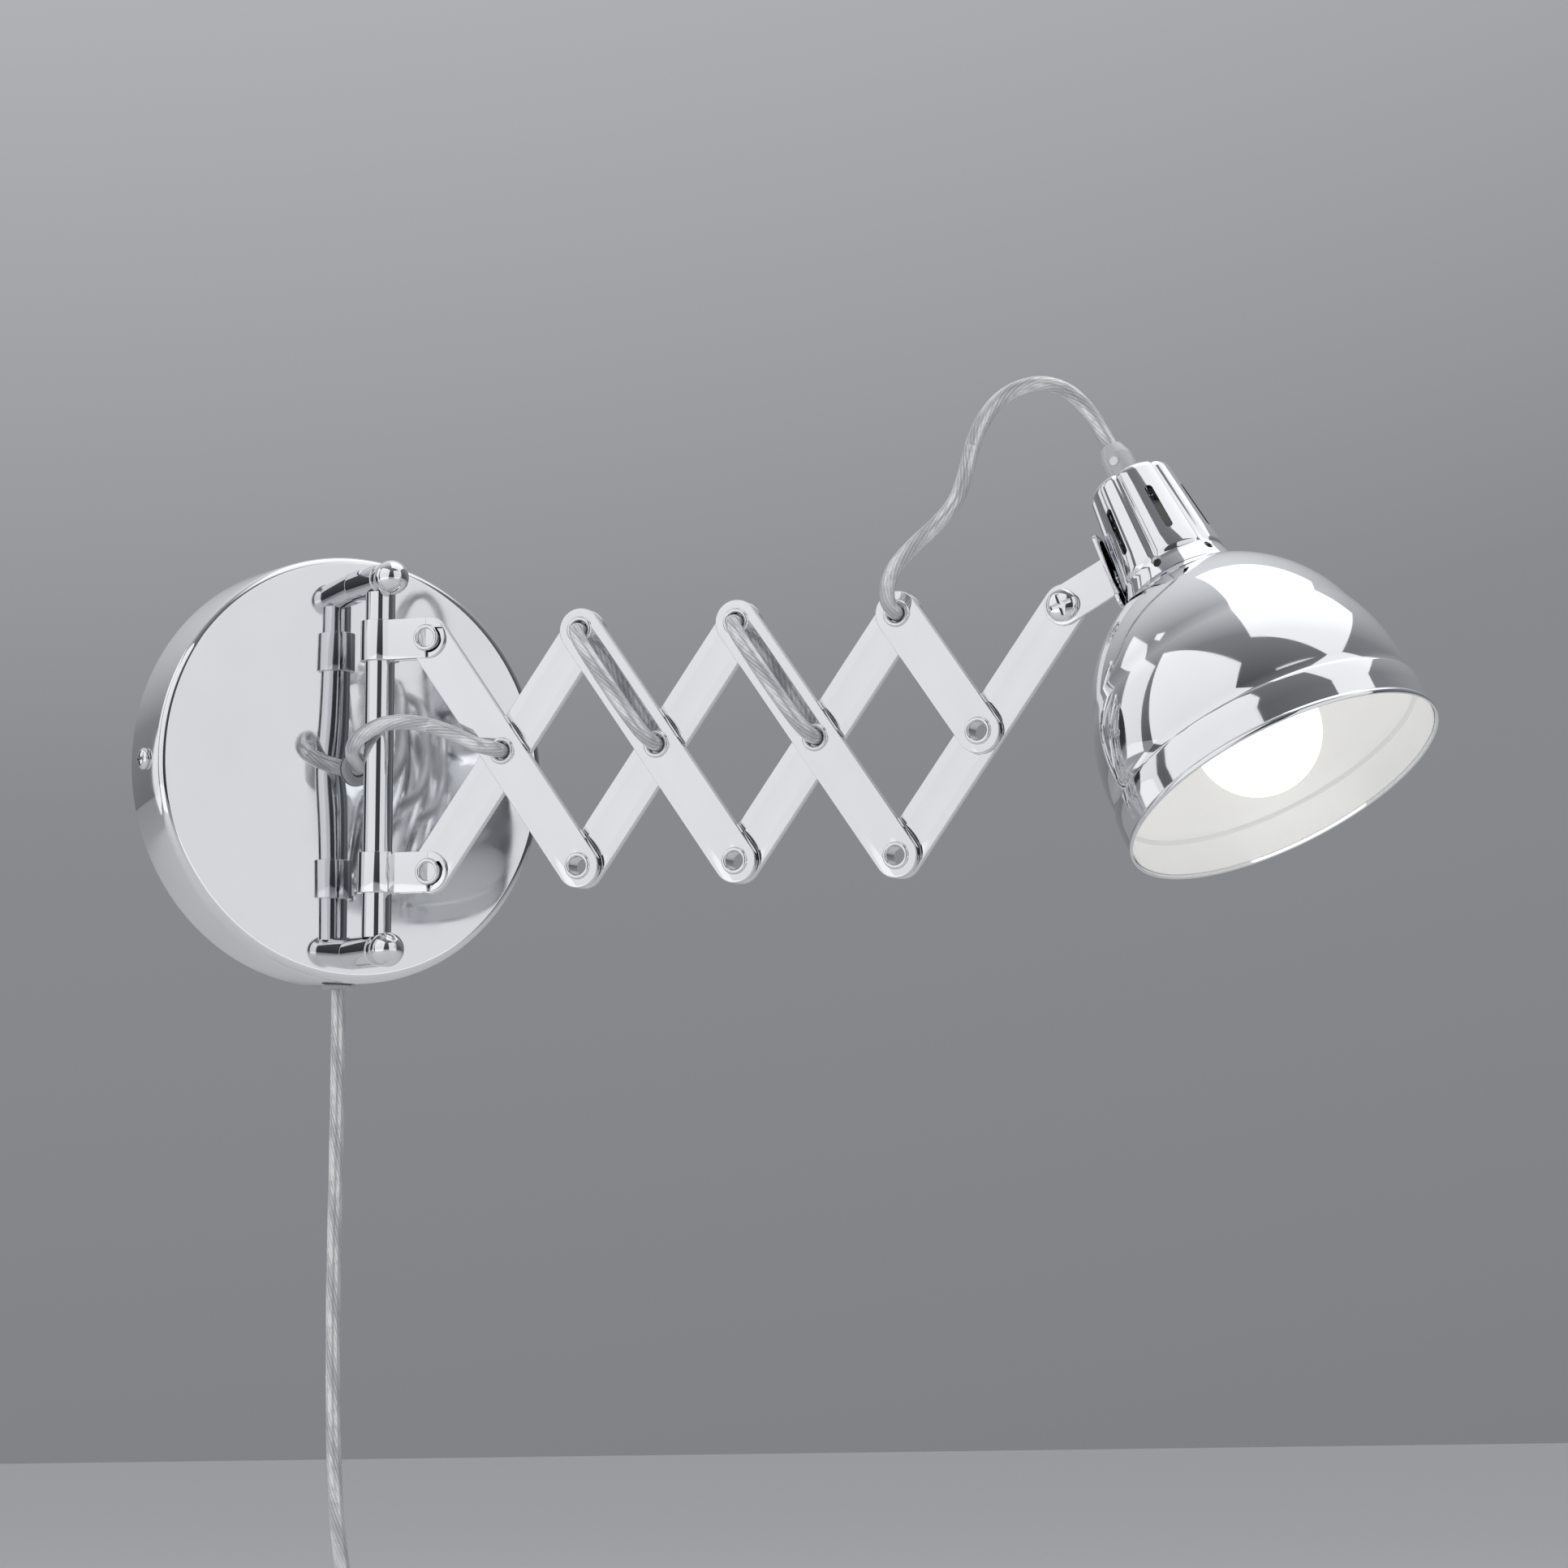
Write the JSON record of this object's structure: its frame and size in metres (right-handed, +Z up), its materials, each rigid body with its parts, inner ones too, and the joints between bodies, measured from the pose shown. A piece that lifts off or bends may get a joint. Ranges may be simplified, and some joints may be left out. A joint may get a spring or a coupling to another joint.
{
  "type": "accordion wall lamp",
  "caption": "Chromed wall lamp with a round canopy, a scissor arm that folds, swivels and slides on a post, and a tilting bell shade over a round bulb.",
  "frame": {"origin": "centre of the canopy's back face, on the wall", "axes": "+Z up, +X to the right seen from the room, -Y out of the wall into the room"},
  "size_m": [0.3398, 0.3793, 0.5655],
  "materials": {
    "chrome_plate": "polished",
    "zinc_steel": "zinc plated",
    "nylon": "natural nylon",
    "white_plastic": "satin",
    "grommet_rubber": "grey, matte",
    "cord_jacket": "clear sheath over tinned strands",
    "plug_plastic": "moulded, grey",
    "enamel": "white enamel",
    "opal_glass": "opal"
  },
  "bodies": {
    "wall_base": {"wall_bracket": "zinc_steel", "canopy_shell": "chrome_plate", "canopy_screw_left": "chrome_plate", "canopy_screw_right": "chrome_plate", "standoff_top": "chrome_plate", "standoff_bottom": "chrome_plate", "standoff_nut_top": "zinc_steel", "standoff_nut_bottom": "zinc_steel", "post": "chrome_plate", "outlet_bush": "grommet_rubber", "mains_grommet": "grommet_rubber", "terminal_block": "white_plastic", "mains_cord": "cord_jacket", "mains_coil": "cord_jacket", "coil_tie": "grommet_rubber", "mains_plug": "plug_plastic", "flex_lead_in": "cord_jacket"},
    "arm_bush": {"collar_bush_top": "nylon"},
    "upper_collar": {"collar_top": "chrome_plate", "eyelet_u": "chrome_plate"},
    "bar_a_body": {"bar_a": "chrome_plate", "eyelet_x1": "chrome_plate", "eyelet_b1": "chrome_plate"},
    "bar_b_body": {"bar_b": "chrome_plate", "flex_back_b": "cord_jacket"},
    "lower_collar": {"collar_bottom": "chrome_plate", "collar_bush_bottom": "nylon", "eyelet_l": "chrome_plate"},
    "bar_c_body": {"bar_c": "chrome_plate", "eyelet_t1": "chrome_plate", "eyelet_x2": "chrome_plate", "eyelet_b2": "chrome_plate", "flex_front_c": "cord_jacket"},
    "bar_d_body": {"bar_d": "chrome_plate", "flex_back_d": "cord_jacket"},
    "bar_e_body": {"bar_e": "chrome_plate", "eyelet_t2": "chrome_plate", "eyelet_x3": "chrome_plate", "eyelet_b3": "chrome_plate", "flex_front_e": "cord_jacket"},
    "bar_f_body": {"bar_f": "chrome_plate", "flex_back_f": "cord_jacket"},
    "bar_g_body": {"bar_g": "chrome_plate", "eyelet_t3": "chrome_plate", "eyelet_p4": "chrome_plate", "flex_arch": "cord_jacket"},
    "bar_h_body": {"bar_h": "chrome_plate", "end_screw": "chrome_plate", "end_nut": "chrome_plate"},
    "head": {"head_bracket": "chrome_plate", "bracket_screw": "chrome_plate", "neck_cover": "chrome_plate", "lampholder": "white_plastic", "shade": "chrome_plate", "shade_lining": "enamel", "shade_ring": "white_plastic", "bulb": "opal_glass", "cord_gland": "white_plastic", "gland_screw": "zinc_steel"}
  },
  "joints": [
    {"name": "arm_height", "type": "slide", "parent": "wall_base", "child": "arm_bush", "axis": [0, 0, 1], "range_m": [0, 0.008], "deforming": ["flex_lead_in"]},
    {"name": "arm_swivel", "type": "hinge", "parent": "arm_bush", "child": "upper_collar", "pos_m": [0, -0.043, 0.046], "axis": [0, 0, 1], "range_deg": [-118, 46], "deforming": ["flex_lead_in"]},
    {"name": "arm_extend", "type": "hinge", "parent": "upper_collar", "child": "bar_a_body", "pos_m": [0.01234, -0.05999, 0.046], "axis": [-0.809, -0.5878, 0], "range_deg": [-17, 44.5], "deforming": ["flex_lead_in"]},
    {"name": "fold_b", "type": "hinge", "parent": "bar_a_body", "child": "bar_b_body", "pos_m": [0.03043, -0.08489, 0.00285], "axis": [-0.809, -0.5878, 0], "range_deg": [-89, 34]},
    {"name": "fold_lower_collar", "type": "hinge", "parent": "bar_b_body", "child": "lower_collar", "pos_m": [0.01234, -0.05999, -0.0403], "axis": [-0.809, -0.5878, 0], "range_deg": [-17, 44.5]},
    {"name": "fold_d", "type": "hinge", "parent": "bar_a_body", "child": "bar_d_body", "pos_m": [0.04852, -0.10979, -0.0403], "axis": [-0.809, -0.5878, 0], "range_deg": [-89, 34]},
    {"name": "fold_c", "type": "hinge", "parent": "bar_d_body", "child": "bar_c_body", "pos_m": [0.06661, -0.13469, 0.00285], "axis": [-0.809, -0.5878, 0], "range_deg": [-34, 89]},
    {"name": "fold_e", "type": "hinge", "parent": "bar_d_body", "child": "bar_e_body", "pos_m": [0.08471, -0.15959, 0.046], "axis": [-0.809, -0.5878, 0], "range_deg": [-34, 89]},
    {"name": "fold_f", "type": "hinge", "parent": "bar_e_body", "child": "bar_f_body", "pos_m": [0.1028, -0.18449, 0.00285], "axis": [-0.809, -0.5878, 0], "range_deg": [-89, 34]},
    {"name": "fold_h", "type": "hinge", "parent": "bar_e_body", "child": "bar_h_body", "pos_m": [0.12089, -0.20938, -0.0403], "axis": [-0.809, -0.5878, 0], "range_deg": [-89, 34]},
    {"name": "fold_g", "type": "hinge", "parent": "bar_h_body", "child": "bar_g_body", "pos_m": [0.13898, -0.23428, 0.00285], "axis": [-0.809, -0.5878, 0], "range_deg": [-34, 89], "deforming": ["flex_arch"]},
    {"name": "head_tilt", "type": "hinge", "parent": "bar_h_body", "child": "head", "pos_m": [0.15707, -0.25918, 0.046], "axis": [-0.809, -0.5878, 0], "range_deg": [-30, 75], "deforming": ["flex_arch"]}
  ],
  "couplings": [
    {"joint": "fold_b", "follows": "arm_extend", "ratio": -2},
    {"joint": "fold_lower_collar", "follows": "arm_extend", "ratio": 1},
    {"joint": "fold_d", "follows": "arm_extend", "ratio": -2},
    {"joint": "fold_c", "follows": "arm_extend", "ratio": 2},
    {"joint": "fold_e", "follows": "arm_extend", "ratio": 2},
    {"joint": "fold_f", "follows": "arm_extend", "ratio": -2},
    {"joint": "fold_h", "follows": "arm_extend", "ratio": -2},
    {"joint": "fold_g", "follows": "arm_extend", "ratio": 2}
  ]
}
